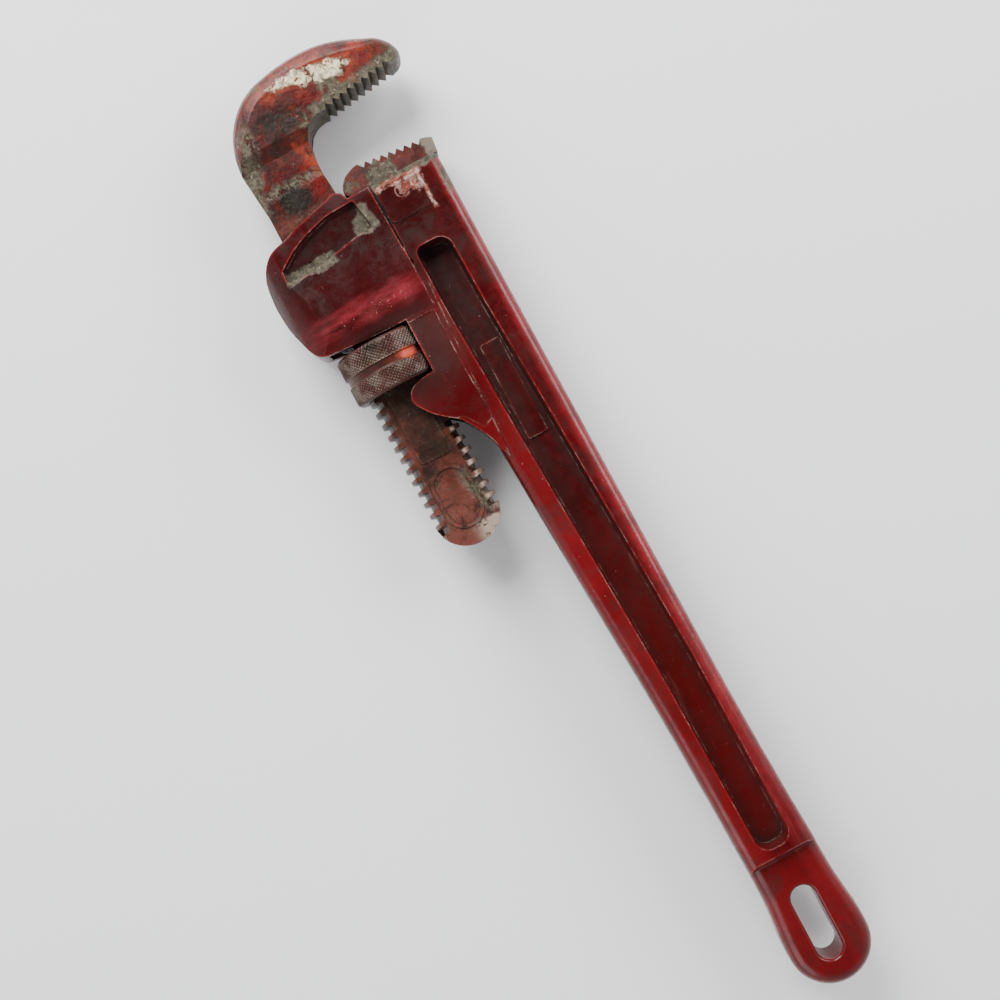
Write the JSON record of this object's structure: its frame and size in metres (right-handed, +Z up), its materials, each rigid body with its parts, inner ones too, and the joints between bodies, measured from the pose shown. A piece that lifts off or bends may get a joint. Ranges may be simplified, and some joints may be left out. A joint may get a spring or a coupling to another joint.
{
  "type": "pipe wrench",
  "caption": "Straight adjustable pipe wrench: I-beam handle with hanging eye, housing, pinned heel jaw, sliding hook jaw on a threaded shank, knurled adjusting nut.",
  "frame": {"origin": "middle of the heel jaw's toothed face, in the wrench's mid-plane: where a pipe sits", "axes": "+X along the handle towards the jaws and square to the toothed face, +Y towards the hook jaw's side, +Z up when the wrench lies on its broad side"},
  "size_m": [0.4065, 0.0879, 0.0344],
  "materials": {
    "red_enamel": "gloss enamel over ductile iron, chipped and grimy",
    "worn_jaw": "red enamel worn through to bare steel",
    "heel_steel": "worn enamel on forged steel, bare teeth",
    "nut_iron": "knurled, worn and oily",
    "spring_steel": "oiled",
    "pin_steel": "painted over, worn"
  },
  "bodies": {
    "handle": {"handle": "red_enamel", "heel_jaw": "heel_steel", "heel_jaw_pin": "pin_steel", "flat_spring": "spring_steel", "flat_spring_rivet": "pin_steel"},
    "shank_guide": {"coil_spring": "spring_steel"},
    "nut": {"adjusting_nut": "nut_iron"},
    "hook": {"hook_jaw": "worn_jaw"}
  },
  "joints": [
    {"name": "jaw_rock", "type": "hinge", "parent": "handle", "child": "shank_guide", "pos_m": [-0.06975, 0.03875, 0], "axis": [0, 0, 1], "range_deg": [0, 2.5], "stiffness_Nm_per_rad": 6, "springref_deg": -8.59, "deforming": ["coil_spring", "flat_spring"]},
    {"name": "nut_spin", "type": "hinge", "parent": "shank_guide", "child": "nut", "pos_m": [-0.06975, 0.03875, 0], "axis": [-1, 0, 0], "range_deg": [-1650, 3600]},
    {"name": "jaw_slide", "type": "slide", "parent": "shank_guide", "child": "hook", "axis": [1, 0, 0], "range_m": [-0.022, 0.048]}
  ],
  "couplings": [
    {"joint": "nut_spin", "follows": "jaw_slide", "rad_per_m": 1309}
  ]
}
